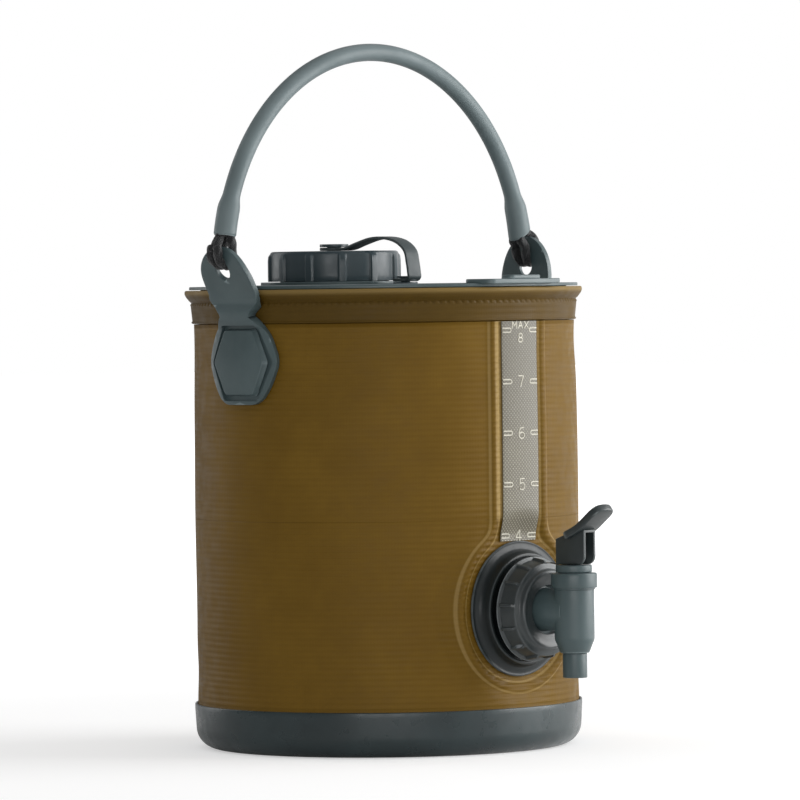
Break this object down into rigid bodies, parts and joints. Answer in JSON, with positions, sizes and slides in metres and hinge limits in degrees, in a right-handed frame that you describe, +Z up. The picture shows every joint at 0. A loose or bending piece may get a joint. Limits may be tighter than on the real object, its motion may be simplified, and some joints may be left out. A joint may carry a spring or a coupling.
{
  "type": "collapsible water carrier",
  "caption": "Collapsible fabric water bucket with a moulded base, lid with screw filler cap, carrying handle, level window and lever tap.",
  "frame": {"origin": "centre of the flat underside of the base tub, on the bag's axis", "axes": "+Z up; the tap faces -Y; the handle's ears stand at -X and +X"},
  "size_m": [0.254, 0.2866, 0.396],
  "materials": {
    "fabric_wall": "coated scrim fabric, satin",
    "gauge_film": "translucent reinforced film",
    "grey_plastic": "moulded, satin",
    "dark_plastic": "moulded, satin",
    "handle_sleeve": "soft tube, matt",
    "black_cord": "braided cord",
    "soft_rubber": "matt",
    "steel": "plain"
  },
  "bodies": {
    "base": {"base_tub": "grey_plastic", "bag_floor": "fabric_wall", "wall_lower": "fabric_wall", "wall_fold": "fabric_wall", "gauge_window": "gauge_film", "tap_flange": "dark_plastic", "flange_gasket": "soft_rubber", "tap_backing_ring": "grey_plastic", "inlet_nut": "dark_plastic"},
    "rim": {"top_hem": "fabric_wall", "rim_hoop": "steel", "handle_arm_left": "grey_plastic", "handle_arm_right": "grey_plastic", "arm_button_left": "grey_plastic", "arm_button_right": "grey_plastic", "arm_backing_plate_left": "grey_plastic", "arm_backing_plate_right": "grey_plastic", "arm_screw_left": "steel", "arm_screw_right": "steel", "cord_loop_left": "black_cord", "cord_loop_right": "black_cord"},
    "lid": {"lid": "grey_plastic", "filler_neck": "grey_plastic", "tether_anchor": "dark_plastic", "cap_tether": "soft_rubber"},
    "cap_hub": {"tether_hub": "dark_plastic"},
    "cap": {"filler_cap": "dark_plastic", "cap_gasket": "soft_rubber"},
    "handle": {"handle_tube": "handle_sleeve", "handle_cord": "black_cord"},
    "nut": {"union_nut": "dark_plastic"},
    "tap": {"tap_body": "grey_plastic", "tap_bonnet": "grey_plastic", "outlet_nozzle": "grey_plastic", "tap_washer": "soft_rubber", "tap_spring": "steel"},
    "stem": {"valve_stem": "steel", "seat_cup": "soft_rubber"},
    "lever": {"tap_lever": "dark_plastic", "lever_pin": "steel"}
  },
  "joints": [
    {"name": "collapse", "type": "slide", "parent": "base", "child": "rim", "axis": [0, 0, -1], "range_m": [0, 0.085], "deforming": ["wall_fold", "gauge_window"]},
    {"name": "lid_lift", "type": "slide", "parent": "rim", "child": "lid", "axis": [0, 0, 1], "range_m": [0, 0.0056]},
    {"name": "cap_lift", "type": "slide", "parent": "lid", "child": "cap_hub", "axis": [0, 0, 1], "range_m": [0, 0.045], "deforming": ["cap_tether"]},
    {"name": "cap_turn", "type": "hinge", "parent": "cap_hub", "child": "cap", "pos_m": [0, 0.04, 0.27], "axis": [0, 0, 1], "range_deg": [0, 450]},
    {"name": "handle_swing", "type": "hinge", "parent": "rim", "child": "handle", "pos_m": [0, 0, 0.2695], "axis": [1, 0, 0], "range_deg": [-80, 80]},
    {"name": "union_nut_turn", "type": "hinge", "parent": "base", "child": "nut", "pos_m": [0, -0.122, 0.08], "axis": [0, -1, 0], "range_deg": [0, 360]},
    {"name": "tap_swivel", "type": "hinge", "parent": "base", "child": "tap", "pos_m": [0, -0.122, 0.08], "axis": [0, -1, 0], "range_deg": [-90, 90]},
    {"name": "stem_lift", "type": "slide", "parent": "tap", "child": "stem", "axis": [0, 0, 1], "range_m": [0, 0.0034], "deforming": ["tap_spring"]},
    {"name": "lever_press", "type": "hinge", "parent": "stem", "child": "lever", "pos_m": [0, -0.1478, 0.112], "axis": [1, 0, 0], "range_deg": [0, 30], "stiffness_Nm_per_rad": 0.016, "springref_deg": -34.38}
  ],
  "couplings": [
    {"joint": "stem_lift", "follows": "lever_press", "m_per_rad": 0.0063}
  ]
}
